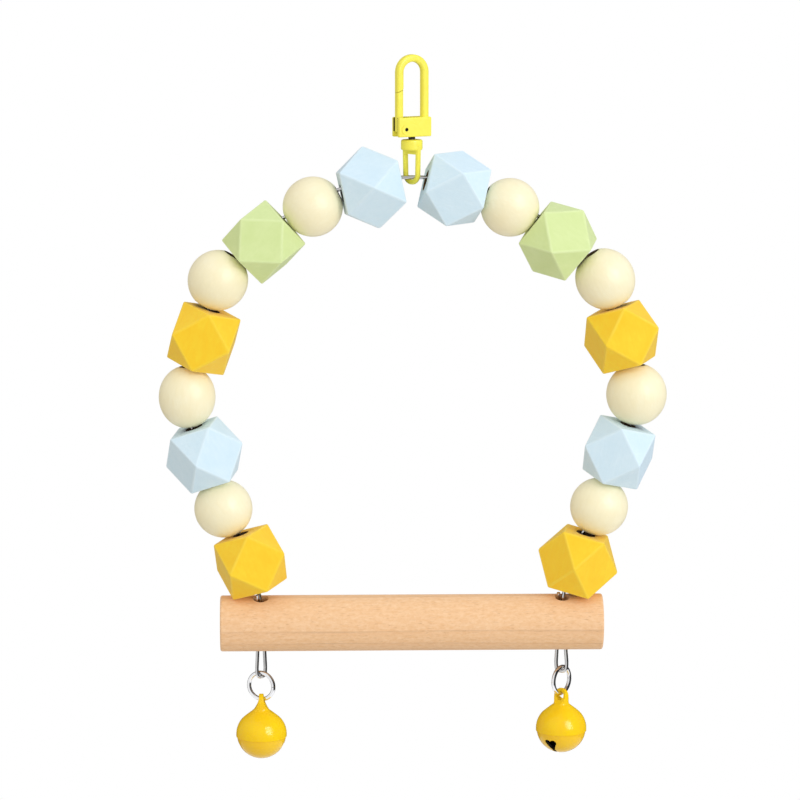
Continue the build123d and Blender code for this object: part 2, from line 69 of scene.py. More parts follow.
# %% Place the camera
PIXELS_PER_MM = 5.2200
PICTURE_WIDTH = 800
VIEW_DISTANCE = 0.700
VIEW_AZIMUTH = math.radians(-1.5)
VIEW_ELEVATION = math.radians(9.0)
VIEW_CENTRE = Vector((-0.00223, 0.0, -0.06271))
SENSOR_WIDTH = 36.0


def direction(azimuth, elevation):
    """Unit vector from the object: azimuth 0 is the viewer's side, 90 degrees the right."""
    flat = math.cos(elevation)
    return Vector((math.sin(azimuth) * flat, -math.cos(azimuth) * flat, math.sin(elevation)))


toward_viewer = direction(VIEW_AZIMUTH, VIEW_ELEVATION)
camera = bpy.data.objects.new("front_camera", bpy.data.cameras.new("front_camera"))
camera.location = VIEW_CENTRE + toward_viewer * VIEW_DISTANCE
camera.rotation_euler = toward_viewer.to_track_quat("Z", "Y").to_euler()
camera.data.sensor_width = SENSOR_WIDTH
camera.data.lens = SENSOR_WIDTH * PIXELS_PER_MM * VIEW_DISTANCE / MM / PICTURE_WIDTH
camera.data.clip_start = 0.01
bpy.context.scene.collection.objects.link(camera)
bpy.context.scene.camera = camera
bpy.context.scene.view_settings.view_transform = "Standard"
print("camera lens", round(camera.data.lens, 1), "mm")

# %% [markdown]
# ## Small helpers for node trees
# Every material below is a small network of nodes. A few helpers keep the cells
# short: one adds a node and fills its inputs, others add a calculation, a change
# of range or a mix of colours, and one makes a node group with named sockets. A
# group is built once and placed in each material that needs it.

# %% Node helpers


def add_node(tree, kind, inputs=None, **settings):
    """New node of a kind; inputs holds plain values or the sockets to link, by name or number."""
    node = tree.nodes.new(kind)
    for key, value in settings.items():
        setattr(node, key, value)
    for key, value in (inputs or {}).items():
        if isinstance(value, bpy.types.NodeSocket):
            tree.links.new(value, node.inputs[key])
        else:
            node.inputs[key].default_value = value
    return node


def new_group(name, inputs, outputs):
    """Empty shader group; inputs maps each socket's name to its kind and default, outputs names values."""
    tree = bpy.data.node_groups.new(name, "ShaderNodeTree")
    for socket_name, (kind, value) in inputs.items():
        socket = tree.interface.new_socket(socket_name, in_out="INPUT", socket_type=kind)
        if value is not None:
            socket.default_value = value
    for socket_name in outputs:
        tree.interface.new_socket(socket_name, in_out="OUTPUT", socket_type="NodeSocketFloat")
    return tree, tree.nodes.new("NodeGroupInput").outputs, tree.nodes.new("NodeGroupOutput").inputs


def place_group(tree, group, inputs):
    """Outputs of a group placed in a material, with its own values."""
    return add_node(tree, "ShaderNodeGroup", inputs, node_tree=group).outputs


def calculate(tree, operation, *values, **settings):
    """Result of one operation on plain values or sockets."""
    node = add_node(tree, "ShaderNodeMath", dict(enumerate(values)), operation=operation, **settings)
    return node.outputs[0]


def calculate_vector(tree, operation, *values):
    """Result of one operation on vectors: a value for a length, distance or dot product, else a vector."""
    node = add_node(tree, "ShaderNodeVectorMath", dict(enumerate(values)), operation=operation)
    return node.outputs["Value" if operation in ("LENGTH", "DISTANCE", "DOT_PRODUCT") else "Vector"]


def remap(tree, value, start=0.0, end=1.0, low=0.0, high=1.0, shape="LINEAR"):
    """Value moved from the range start to end into the range low to high."""
    return add_node(tree, "ShaderNodeMapRange", {
        "Value": value, "From Min": start, "From Max": end, "To Min": low, "To Max": high,
    }, interpolation_type=shape).outputs[0]


def mix_colour(tree, factor, first, second, blend="MIX"):
    """Colour between first and second; each is a colour or a socket."""
    inputs = {0: factor, 6: first, 7: second}
    for index in (6, 7):
        if not isinstance(inputs[index], bpy.types.NodeSocket):
            inputs[index] = (*inputs[index], 1.0)
    return add_node(tree, "ShaderNodeMix", inputs, data_type="RGBA", blend_type=blend).outputs[2]


def new_material(name, **uniform):
    """Material with a Principled shader whose uniform values are set on its own sockets."""
    material = bpy.data.materials.new(name)
    material.use_nodes = True
    tree = material.node_tree
    shader = tree.nodes["Principled BSDF"]
    for key, value in uniform.items():
        shader.inputs[key.replace("_", " ")].default_value = value
    return material, tree, shader


print("helpers ready")

# %% [markdown]
# ## Light, backdrop and floor
# The photograph was taken in a white tent: soft light from everywhere and one
# softbox low on the right. A plain world gives the even light, stronger from
# above and the right, where the tent's lamps are, and weaker and warmer from
# the far side, where it is only bounced light. What a ray sees differs by its
# kind: the camera meets pure white, and a reflection meets the inside of the
# tent. Going round from the back, that is a dim seam, a bright left wall, the
# grey room behind the camera, and a black card all along the right. The card
# draws the black streak along every bright wire.

# %% The world
world = bpy.data.worlds.new("white_tent")
bpy.context.scene.world = world
world.use_nodes = True
sky = world.node_tree
sky.nodes.clear()
LIGHT_NEAR_LAMPS = (0.97, 0.98, 1.03)
LIGHT_FAR_SIDE = (0.615, 0.555, 0.45)
TENT_LAMPS = direction(math.radians(70.0), math.radians(58.0))
FADE_START = -0.8
FADE_END = 0.7
TENT_ROUND = {
    -180: 0.05, -140: 0.08, -115: 0.60, -95: 1.00, -20: 1.00, 0: 0.80, 14: 0.25, 24: 0.03,
    165: 0.02, 180: 0.05,
}

ray = add_node(sky, "ShaderNodeLightPath").outputs
heading = add_node(sky, "ShaderNodeTexCoord").outputs["Generated"]
level = add_node(sky, "ShaderNodeSeparateXYZ", {0: heading}).outputs
turn = calculate(sky, "ARCTAN2", level["X"], calculate(sky, "MULTIPLY", level["Y"], -1.0))
around = add_node(sky, "ShaderNodeValToRGB", {0: remap(sky, turn, -math.pi, math.pi)})
stops = around.color_ramp.elements
while len(stops) < len(TENT_ROUND):
    stops.new(0.5)
for stop, azimuth in zip(stops, TENT_ROUND):
    stop.position = (azimuth + 180) / 360
    stop.color = (TENT_ROUND[azimuth],) * 3 + (1.0,)
toward_lamps = calculate_vector(sky, "DOT_PRODUCT", heading, TENT_LAMPS)
fade = remap(sky, toward_lamps, FADE_START, FADE_END, shape="SMOOTHSTEP")
tent_light = mix_colour(sky, fade, LIGHT_FAR_SIDE, LIGHT_NEAR_LAMPS)
tent = add_node(sky, "ShaderNodeBackground", {"Color": tent_light}).outputs[0]
walls = add_node(sky, "ShaderNodeBackground", {"Color": around.outputs[0]}).outputs[0]
white = add_node(sky, "ShaderNodeBackground", {"Color": (1.0, 1.0, 1.0, 1.0)}).outputs[0]
seen_white = calculate(sky, "MAXIMUM", ray["Is Camera Ray"], ray["Is Transmission Ray"])
lit = add_node(sky, "ShaderNodeMixShader", {0: ray["Is Glossy Ray"], 1: tent, 2: walls})
shown = add_node(sky, "ShaderNodeMixShader", {0: seen_white, 1: lit.outputs[0], 2: white})
add_node(sky, "ShaderNodeOutputWorld", {"Surface": shown.outputs[0]})
print("world lights at", LIGHT_FAR_SIDE, "to", LIGHT_NEAR_LAMPS)

# %% [markdown]
# The softbox is an area lamp. A lamp of P watts at a distance of d metres
# lights a white card facing it to P / (pi * d) ** 2, which is how its power is
# chosen here: enough to lift the lit side by about a quarter, and no more. A
# second panel beside it is hidden from matt surfaces and linked to the enamel
# and the round beads, as when a reflector is set up just to put a glint on a
# bell. The softbox in turn is kept out of reflections, so it draws no stripe
# down the bright wire.

# %% The softbox
LAMP_DISTANCE = 1.0
LAMP_WIDTH = 0.48
LAMP_HEIGHT = 0.70
SOFTBOX_SHARE = 0.27
GLINT_SHARE = 1.00


def panel_lamp(name, azimuth, elevation, share):
    """Area lamp that faces the swing and lights a white card to the given share of full white."""
    toward_lamp = direction(math.radians(azimuth), math.radians(elevation))
    light = bpy.data.lights.new(name, "AREA")
    light.shape = "RECTANGLE"
    light.size = LAMP_WIDTH
    light.size_y = LAMP_HEIGHT
    light.energy = share * (math.pi * LAMP_DISTANCE) ** 2
    lamp = bpy.data.objects.new(name, light)
    lamp.location = VIEW_CENTRE + toward_lamp * LAMP_DISTANCE
    lamp.rotation_euler = toward_lamp.to_track_quat("Z", "Y").to_euler()
    bpy.context.scene.collection.objects.link(lamp)
    return lamp


softbox = panel_lamp("softbox", azimuth=40.0, elevation=17.0, share=SOFTBOX_SHARE)
softbox.visible_glossy = False
glint = panel_lamp("glint_panel", azimuth=37.0, elevation=23.0, share=GLINT_SHARE)
glint.visible_diffuse = False
glossy = bpy.data.collections.new("glossy_pieces")
glint.light_linking.receiver_collection = glossy
print("softbox", round(softbox.data.energy, 2), "W")

# %% [markdown]
# The swing hangs in the air, so the floor lies well below it. It is a matt
# pale sheet that takes the swing's shadow. For the camera and for reflections
# it is topped up with some emission, which adds no light to matt surfaces.

# %% The floor
FLOOR_HEIGHT = -0.42
FLOOR_RADIUS = 0.55
FLOOR_GLOW = 0.50
FLOOR_GREY = 0.58
floor_mesh = bpy.data.meshes.new("pale_floor")
shape = bmesh.new()
bmesh.ops.create_circle(shape, cap_ends=True, segments=96, radius=FLOOR_RADIUS)
shape.to_mesh(floor_mesh)
shape.free()
floor = bpy.data.objects.new("pale_floor", floor_mesh)
floor.location.z = FLOOR_HEIGHT
bpy.context.scene.collection.objects.link(floor)

floor_paper = bpy.data.materials.new("floor_paper")
floor_paper.use_nodes = True
tree = floor_paper.node_tree
tree.nodes.clear()
ray = add_node(tree, "ShaderNodeLightPath").outputs
seen = calculate(tree, "MAXIMUM", ray["Is Camera Ray"], ray["Is Glossy Ray"])
seen = calculate(tree, "MAXIMUM", seen, ray["Is Transmission Ray"])
paper = add_node(tree, "ShaderNodeBsdfDiffuse", {"Color": (FLOOR_GREY, FLOOR_GREY, FLOOR_GREY, 1.0)})
glow = add_node(tree, "ShaderNodeEmission", {
    "Color": (1.0, 1.0, 1.0, 1.0), "Strength": calculate(tree, "MULTIPLY", seen, FLOOR_GLOW),
})
both = add_node(tree, "ShaderNodeAddShader", {0: paper.outputs[0], 1: glow.outputs[0]})
add_node(tree, "ShaderNodeOutputMaterial", {"Surface": both.outputs[0]})
floor_mesh.materials.append(floor_paper)
print("floor at", FLOOR_HEIGHT, "m")

# %% [markdown]
# ## Shared effects
# Wood shows through the beads' paint and on the bare perch, so its fibres are
# one group: noise squeezed across the grain and drawn out along it. A second
# group makes the slow blotches that every hand-sprayed or sanded surface has,
# and a third the fine dimpled skin of sprayed enamel. Each gives plain values
# that a material turns into colour, roughness or a bump.

# %% Wood fibres
FLOAT = "NodeSocketFloat"
VECTOR = "NodeSocketVector"
PORE_LIMIT = 0.78
fibres, given, result = new_group("wood_fibres", {
    "Place": (VECTOR, None), "Stretch": (VECTOR, (900.0, 900.0, 90.0)), "Pore Amount": (FLOAT, 0.5),
}, ["Fibres", "Pores"])
squeezed = calculate_vector(fibres, "MULTIPLY", given["Place"], given["Stretch"])
strands = add_node(fibres, "ShaderNodeTexNoise", {
    "Vector": squeezed, "Scale": 1.0, "Detail": 5.0, "Roughness": 0.62, "Distortion": 0.25,
})
specks = add_node(fibres, "ShaderNodeTexNoise", {
    "Vector": squeezed, "Scale": 2.3, "Detail": 2.0, "Roughness": 0.5,
})
pore_edge = calculate(fibres, "SUBTRACT", PORE_LIMIT, given["Pore Amount"])
pores = calculate(fibres, "SUBTRACT", specks.outputs[0], pore_edge)
fibres.links.new(remap(fibres, strands.outputs[0], 0.28, 0.72), result["Fibres"])
fibres.links.new(remap(fibres, pores, 0.0, 0.08), result["Pores"])
print("group", fibres.name)

# %% Slow blotches
blotches, given, result = new_group("slow_blotches", {
    "Place": (VECTOR, None), "Size": (FLOAT, 6.0 * MM), "Contrast": (FLOAT, 0.5),
}, ["Blotches"])
cloud = add_node(blotches, "ShaderNodeTexNoise", {
    "Vector": given["Place"], "Scale": calculate(blotches, "DIVIDE", 1.0, given["Size"]),
    "Detail": 3.0, "Roughness": 0.55,
})
centred = calculate(blotches, "SUBTRACT", cloud.outputs[0], 0.5)
spread = calculate(blotches, "MULTIPLY", given["Contrast"], 4.0)
cloud_value = calculate(blotches, "MULTIPLY_ADD", centred, spread, 0.5, use_clamp=True)
blotches.links.new(cloud_value, result["Blotches"])
print("group", blotches.name)

# %% Dimpled skin
dimples, given, result = new_group("dimpled_skin", {
    "Place": (VECTOR, None), "Size": (FLOAT, 0.7 * MM),
}, ["Dimples"])
cells = add_node(dimples, "ShaderNodeTexVoronoi", {
    "Vector": given["Place"], "Scale": calculate(dimples, "DIVIDE", 1.0, given["Size"]), "Smoothness": 1.0,
}, feature="SMOOTH_F1")
dimples.links.new(cells.outputs["Distance"], result["Dimples"])
print("group", dimples.name)

# %% [markdown]
# ## Bead paint
# The beads are dipped in a thin satin paint. It fills most of the grain, so
# fibres show only as a faint ripple, and it draws back from sharp edges, where
# the facets look a touch paler. Where the edges are is known when a bead's mesh
# is made, so it is stored on the mesh as an attribute called edge and read here.
# A second attribute, turned_place, keeps the bead's own coordinates, so that the
# grain runs along the bore however the bead hangs.

# %% Make the four paints
EDGE_WEAR = 0.6
FIBRE_SHARE = 0.75
PAINT_SMOOTHER = 0.05
PAINT_ROUGHER = 0.07


def bead_paint(name, colour, shade, pale, gloss):
    """Satin paint over wood: shade lies in the fibres and blotches, pale along the edges."""
    material, tree, shader = new_material(name, Specular_IOR_Level=0.35, Sheen_Weight=0.15)
    local = add_node(tree, "ShaderNodeAttribute", attribute_name="turned_place").outputs["Vector"]
    chance = add_node(tree, "ShaderNodeObjectInfo").outputs["Random"]
    place = calculate_vector(tree, "ADD", local, chance)
    wood = place_group(tree, fibres, {"Place": place, "Stretch": (1500.0, 1500.0, 450.0)})
    patches = place_group(tree, blotches, {"Place": place, "Size": 4.0 * MM, "Contrast": 0.5})
    skin = place_group(tree, dimples, {"Place": place, "Size": 0.9 * MM})
    edge = add_node(tree, "ShaderNodeAttribute", attribute_name="edge").outputs["Fac"]
    worn = calculate(tree, "MULTIPLY", calculate(tree, "MULTIPLY", edge, patches["Blotches"]), EDGE_WEAR)
    body = mix_colour(tree, patches["Blotches"], colour, shade)
    body = mix_colour(tree, calculate(tree, "MULTIPLY", wood["Fibres"], FIBRE_SHARE), body, shade)
    body = mix_colour(tree, worn, body, pale)
    tree.links.new(body, shader.inputs["Base Color"])
    rough = remap(tree, patches["Blotches"], low=gloss - PAINT_SMOOTHER, high=gloss + PAINT_ROUGHER)
    tree.links.new(rough, shader.inputs["Roughness"])
    grain = add_node(tree, "ShaderNodeBump", {
        "Strength": 1.0, "Distance": 0.025 * MM, "Height": wood["Fibres"],
    })
    bump = add_node(tree, "ShaderNodeBump", {
        "Strength": 1.0, "Distance": 0.020 * MM, "Height": skin["Dimples"], "Normal": grain.outputs[0],
    })
    tree.links.new(bump.outputs[0], shader.inputs["Normal"])
    return material


paint_tones = {
    "blue": ((0.740, 0.895, 0.970), (0.655, 0.835, 0.930), (0.800, 0.930, 0.980), 0.50),
    "green": ((0.750, 0.870, 0.425), (0.665, 0.800, 0.340), (0.800, 0.910, 0.500), 0.50),
    "orange": ((0.998, 0.715, 0.026), (0.985, 0.600, 0.010), (0.990, 0.760, 0.080), 0.46),
    "cream": ((0.990, 0.930, 0.665), (0.960, 0.870, 0.565), (0.985, 0.930, 0.700), 0.40),
}
bead_finish = {colour: bead_paint(colour + "_paint", *tones) for colour, tones in paint_tones.items()}
print("paints", ", ".join(bead_finish))

# %% [markdown]
# The drill leaves bare wood in the bore, so each bead has a second finish for it.
# Its very dark brown is painted shade of the deep bore and the narrow gaps,
# where it gives the dark line that separates one bead from the next.

# %% Bare bore with painted shade
bore_painted_shade, tree, shader = new_material("bore_painted_shade", Specular_IOR_Level=0.2)
local = add_node(tree, "ShaderNodeAttribute", attribute_name="turned_place").outputs["Vector"]
wood = place_group(tree, fibres, {"Place": local, "Stretch": (1500.0, 1500.0, 200.0)})
# Painted shade: the bore's brown is kept very dark to stand for the shade in the bore and between beads.
painted_bore_brown = mix_colour(tree, wood["Fibres"], (0.20, 0.12, 0.06), (0.09, 0.055, 0.028))
tree.links.new(painted_bore_brown, shader.inputs["Base Color"])
tree.links.new(remap(tree, wood["Fibres"], low=0.7, high=0.9), shader.inputs["Roughness"])
print("finish", bore_painted_shade.name)

# %% [markdown]
# ## Beads
# Each bead is made in its own frame, with the bore along Z, and then set in
# place by a matrix. The bore's line and the bead's centre come from the joint
# that lets the bead turn, and the way a faceted bead faces comes from the
# widest flat side of its solid. The bore is only as wide as the wire needs to
# pass, which is measured along the wire's own mesh.

# %% Where each bead sits
LEAN_LIMIT = 0.03
BORE_LIMIT = 2.0 * MM
BORE_HALF = 5.8 * MM
BORE_PLAY = 0.06 * MM
WIRE_STEP = 0.5 * MM


def widest_side(mesh, bore):
    """Direction of the largest flat side that runs along the bore."""
    best_area = 0.0
    best = None
    for polygon in mesh.polygons:
        if abs(polygon.normal.dot(bore)) < LEAN_LIMIT and polygon.area > best_area:
            best_area = polygon.area
            best = polygon.normal.copy()
    return best


def bead_matrix(name):
    """Frame of a bead: Z along its bore, X out of one side."""
    joint = joints[name + "_spin"]
    bore = Vector(joint["axis"]).normalized()
    side = widest_side(nodes[name].data, bore) or bore.orthogonal()
    side = (side - bore * side.dot(bore)).normalized()
    turn = Matrix((side, bore.cross(side), bore)).transposed().to_4x4()
    return Matrix.Translation(joint["pos_m"]) @ turn


def wire_points():
    """Points along the edges of the wire's mesh, no further apart than a step."""
    mesh = nodes["arch_wire"].data
    points = []
    for edge in mesh.edges:
        start, end = (mesh.vertices[number].co for number in edge.vertices)
        steps = math.ceil((end - start).length / WIRE_STEP)
        points += [start.lerp(end, step / steps) for step in range(steps)]
    return points


def bore_radius_for(name, along_wire):
    """Smallest round bore that lets the wire's points through a bead, with a little play."""
    joint = joints[name + "_spin"]
    bore = Vector(joint["axis"]).normalized()
    reach = 0.0
    for point in along_wire:
        offset = point - Vector(joint["pos_m"])
        away = offset.cross(bore).length
        if away < BORE_LIMIT and abs(offset.dot(bore)) < BORE_HALF:
            reach = max(reach, away)
    return reach + BORE_PLAY


along_wire = wire_points()
bead_names = sorted(name for name in nodes if "_bead_" in name)
bore_radius = {name: bore_radius_for(name, along_wire) for name in bead_names}
print(len(bead_names), "beads to make, widest bore", round(2 * max(bore_radius.values()) / MM, 2), "mm")

# %% [markdown]
# A faceted bead is a cube with its corners cut to the middle of its edges: six
# squares and eight triangles, twelve corners in all. The corners are nudged by
# a few hundredths of a millimetre, as sanding leaves them, but the two squares
# across the bore stay flat. Bevelling rounds the edges, and an inset just inside
# each flat marks where the edge paint ends.

# %% Faceted bead
FACET_HALF = 5.7 * MM
EDGE_ROUND = 0.20 * MM
EDGE_FADE = 0.35 * MM
BORE_BREAK = 0.10 * MM
BORE_STEPS = 40
NUDGE = 0.05 * MM
SAME_FLAT = math.radians(4)


def ring(shape, radius, height):
    """Circle of vertices and edges round the bore."""
    corners = []
    for step in range(BORE_STEPS):
        angle = 2 * math.pi * step / BORE_STEPS
        corners.append(shape.verts.new((radius * math.cos(angle), radius * math.sin(angle), height)))
    return [shape.edges.new((a, b)) for a, b in zip(corners, corners[1:] + corners[:1])]


def facet_mesh(name, matrix, chance, bore_radius):
    """Mesh of one faceted bead with softened edges and a bore."""
    shape = bmesh.new()
    for plane in range(3):
        for a in (-1, 1):
            for b in (-1, 1):
                corner = [a * FACET_HALF, b * FACET_HALF]
                corner.insert(plane, 0.0)
                corner = [value + chance.uniform(-NUDGE, NUDGE) for value in corner]
                if plane != 2:
                    corner[2] = math.copysign(FACET_HALF, corner[2])
                shape.verts.new(corner)
    bmesh.ops.convex_hull(shape, input=shape.verts[:])
    bmesh.ops.dissolve_limit(shape, angle_limit=SAME_FLAT, verts=shape.verts[:], edges=shape.edges[:])
    rounded = bmesh.ops.bevel(
        shape, geom=shape.edges[:], offset=EDGE_ROUND, offset_type="OFFSET", segments=3, profile=0.5,
        affect="EDGES", clamp_overlap=True,
    )
    soft = set(rounded["faces"])
    flats = [face for face in shape.faces if face not in soft]
    edge = shape.verts.layers.float.new("edge")
    for vertex in shape.verts:
        vertex[edge] = 1.0
    bmesh.ops.inset_individual(shape, faces=flats, thickness=EDGE_FADE)
    for face in flats:
        for vertex in face.verts:
            vertex[edge] = 0.0
    cut_bore(shape, flats, bore_radius)
    return finished_mesh(name, shape, matrix)


def bare_shaded_faces(faces):
    """Gives the faces of a bore the bead's second finish: bare wood darkened as painted shade."""
    for face in faces:
        face.material_index = 1


def cut_bore(shape, flats, bore_radius):
    """Opens the two flats across the bore and lines the bore with a broken rim at each end."""
    rims = []
    for way in (1, -1):
        end = max(flats, key=lambda face: way * face.calc_center_median().z)
        outline = list(end.edges)
        height = end.calc_center_median().z
        flats.remove(end)
        bmesh.ops.delete(shape, geom=[end], context="FACES_ONLY")
        mouth = ring(shape, bore_radius + BORE_BREAK, height)
        throat = ring(shape, bore_radius, height - way * BORE_BREAK)
        bmesh.ops.triangle_fill(shape, use_beauty=True, use_dissolve=False, edges=outline + mouth)
        lining = bmesh.ops.bridge_loops(shape, edges=mouth + throat)["faces"]
        rims.append(throat)
        bare_shaded_faces(lining)
    bare_shaded_faces(bmesh.ops.bridge_loops(shape, edges=rims[0] + rims[1])["faces"])
    bmesh.ops.recalc_face_normals(shape, faces=shape.faces[:])


def finished_mesh(name, shape, matrix):
    """Smooth-shaded mesh moved to its place; each vertex keeps its own place in the bead for the paint."""
    for face in shape.faces:
        face.smooth = True
    turned_place = shape.verts.layers.float_vector.new("turned_place")
    for vertex in shape.verts:
        vertex[turned_place] = vertex.co
    shape.transform(matrix)
    mesh = bpy.data.meshes.new(name)
    shape.to_mesh(mesh)
    shape.free()
    return mesh


print("facet bead", round(2 * FACET_HALF / MM, 1), "mm across its flats")

# %% [markdown]
# A round bead is turned on a lathe, so it is made the same way: half of its
# outline, from one mouth of the bore round the outside to the other, is spun
# about the bore. The balls differ a little in size, so each one's width and
# length are measured on its own solid.

# %% Round bead
LATHE_STEPS = 72
OUTLINE_STEPS = 40
RIM_DEPTH = 0.6 * BORE_BREAK
RIM_FADE = 0.5


def turned_size(name):
    """Greatest radius of a round bead's solid, and half the length its outline would have with no bore."""
    joint = joints[name + "_spin"]
    bore = Vector(joint["axis"]).normalized()
    offsets = [vertex.co - Vector(joint["pos_m"]) for vertex in nodes[name].data.vertices]
    radius = max(offset.cross(bore).length for offset in offsets)
    mouth = max(offsets, key=lambda offset: offset.dot(bore))
    return radius, mouth.dot(bore) / math.sqrt(1 - (mouth.cross(bore).length / radius) ** 2)


def round_outline(radius, half_length, bore_radius):
    """Points from the bore's lower mouth round the outside to its upper mouth, as radius and height."""
    mouth = math.asin((bore_radius + BORE_BREAK) / radius)
    points = []
    for step in range(OUTLINE_STEPS + 1):
        angle = mouth + (math.pi - 2 * mouth) * step / OUTLINE_STEPS
        points.append((radius * math.sin(angle), -half_length * math.cos(angle)))
    inner = points[0][1] + RIM_DEPTH
    return [(bore_radius, inner)] + points + [(bore_radius, -inner)]


def round_mesh(name, matrix, radius, half_length, bore_radius):
    """Mesh of one round bead, lathed about its bore."""
    shape = bmesh.new()
    outline = round_outline(radius, half_length, bore_radius)
    corners = [shape.verts.new((away, 0.0, height)) for away, height in outline]
    edges = [shape.edges.new((a, b)) for a, b in zip(corners, corners[1:] + corners[:1])]
    bmesh.ops.spin(
        shape, geom=corners + edges, axis=(0, 0, 1), cent=(0, 0, 0), angle=2 * math.pi, steps=LATHE_STEPS,
        use_merge=True,
    )
    bmesh.ops.recalc_face_normals(shape, faces=shape.faces[:])
    mouth_radius = bore_radius + BORE_BREAK
    bare_shaded_faces(face for face in shape.faces if math.hypot(*face.calc_center_median().xy) < mouth_radius)
    edge = shape.verts.layers.float.new("edge")
    for vertex in shape.verts:
        near_bore = math.hypot(vertex.co.x, vertex.co.y) / mouth_radius
        vertex[edge] = max(0.0, min(1.0, 1.0 - (near_bore - 1.0) / RIM_FADE))
    return finished_mesh(name, shape, matrix)


round_names = [name for name in bead_names if name.endswith("cream")]
print("round beads", [round(2 * turned_size(name)[0] / MM, 2) for name in round_names], "mm wide")

# %% [markdown]
# Every faceted bead gets a seeded chance of its own, so no two are quite alike
# and the script still gives the same swing each run. Each bead takes the place
# of its plain solid and rides on the same body.

# %% Make and place the beads
FIRST_SEED = 100
for number, node_name in enumerate(bead_names):
    colour = node_name.split("_")[-1]
    piece_name = node_name.replace("_bead_", "_wooden_bead_")
    matrix = bead_matrix(node_name)
    if node_name in round_names:
        mesh = round_mesh(piece_name, matrix, *turned_size(node_name), bore_radius[node_name])
    else:
        chance = random.Random(FIRST_SEED + number)
        mesh = facet_mesh(piece_name, matrix, chance, bore_radius[node_name])
    bead = bpy.data.objects.new(piece_name, mesh)
    bead.data.materials.append(bead_finish[colour])
    # The second material is the bore's bare wood, darkened as painted shade.
    bead.data.materials.append(bore_painted_shade)
    bpy.context.scene.collection.objects.link(bead)
    if node_name in round_names:
        glossy.objects.link(bead)
    else:
        shading = bead.modifiers.new("even_flats", "WEIGHTED_NORMAL")
        shading.keep_sharp = True
    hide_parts(node_name)
    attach(bead, node_name)
print("placed", len(bead_names), "beads")

# %% [markdown]
# ## The perch
# The perch is a bare dowel of pale hardwood, turned and sanded. Its rings run
# round an axis some way outside the dowel, so the side shows long stripes and
# the ends show arcs. The rings are worked out in three dimensions, because a
# picture wrapped round the dowel would not agree between the side and the ends.

# %% Perch wood
PITH_BACK = 16.0 * MM
PITH_BELOW = 12.0 * MM
RING_SPACING = 2.1 * MM
RING_WAVER = 1.6 * MM
GRAIN_RUN = 0.06
LATE_START = 0.55
LINE_START = 0.86
LINE_END = 0.97
perch_low, perch_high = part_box("perch")
perch_height = (perch_low + perch_high).z / 2
pith = Vector((0.0, PITH_BACK, perch_height - PITH_BELOW))

perch_wood, tree, shader = new_material("perch_wood", Specular_IOR_Level=0.35)
local = add_node(tree, "ShaderNodeTexCoord").outputs["Object"]
from_pith = calculate_vector(tree, "SUBTRACT", local, pith)
across = calculate_vector(tree, "MULTIPLY", from_pith, (GRAIN_RUN, 1.0, 1.0))
waver = add_node(tree, "ShaderNodeTexNoise", {
    "Vector": across, "Scale": 160.0, "Detail": 2.0, "Roughness": 0.5,
}).outputs[0]
bent = calculate(tree, "MULTIPLY_ADD", waver, RING_WAVER, calculate_vector(tree, "LENGTH", across))
year = calculate(tree, "FRACT", calculate(tree, "DIVIDE", bent, RING_SPACING))
late = remap(tree, year, LATE_START, shape="SMOOTHSTEP")
line = remap(tree, year, LINE_START, LINE_END, shape="SMOOTHSTEP")
wood = place_group(tree, fibres, {"Place": from_pith, "Stretch": (60.0, 1300.0, 1300.0)})
mottle = place_group(tree, fibres, {"Place": from_pith, "Stretch": (1000.0, 1900.0, 1900.0)})
flecks = place_group(tree, fibres, {
    "Place": from_pith, "Stretch": (330.0, 2600.0, 2600.0), "Pore Amount": 0.17,
})
patches = place_group(tree, blotches, {"Place": from_pith, "Size": 12.0 * MM, "Contrast": 0.45})
broken_line = calculate(tree, "MULTIPLY", line, patches["Blotches"])

body = mix_colour(tree, mottle["Fibres"], (0.995, 0.680, 0.415), (0.875, 0.520, 0.255))
body = mix_colour(tree, patches["Blotches"], body, (0.97, 0.97, 0.96), "MULTIPLY")
for mark, share, tone in (
    (late, 0.30, (0.81, 0.475, 0.24)),
    (wood["Fibres"], 0.40, (0.86, 0.52, 0.27)),
    (broken_line, 0.40, (0.52, 0.33, 0.20)),
    (flecks["Pores"], 0.45, (0.60, 0.33, 0.16)),
):
    body = mix_colour(tree, calculate(tree, "MULTIPLY", mark, share), body, tone)
tree.links.new(body, shader.inputs["Base Color"])
tree.links.new(remap(tree, wood["Fibres"], low=0.52, high=0.68), shader.inputs["Roughness"])
bump = add_node(tree, "ShaderNodeBump", {"Strength": 1.0, "Distance": 0.03 * MM, "Height": wood["Fibres"]})
tree.links.new(bump.outputs[0], shader.inputs["Normal"])
print("perch axis at", round(perch_height / MM, 2), "mm")

# %% [markdown]
# ## Enamel
# The snap hook and the bells are sprayed with a thick gloss enamel that pools a
# little and shows a dimpled skin. Inside a bell, down the rivet's hollow, on the
# swivel's post and in the narrow slot beside the gate the colour is painted near
# black: painted shade of these hollows and gaps. Each such place is marked by a
# small function.

# %% Enamel
# Near-black tone of painted shade, for the hollows and gaps marked below.
PAINTED_SHADE_TONE = (0.030, 0.026, 0.018)
ENAMEL_SPREAD = 0.06
BALL_EDGE = 0.05 * MM
AXIS_EDGE = 0.03 * MM


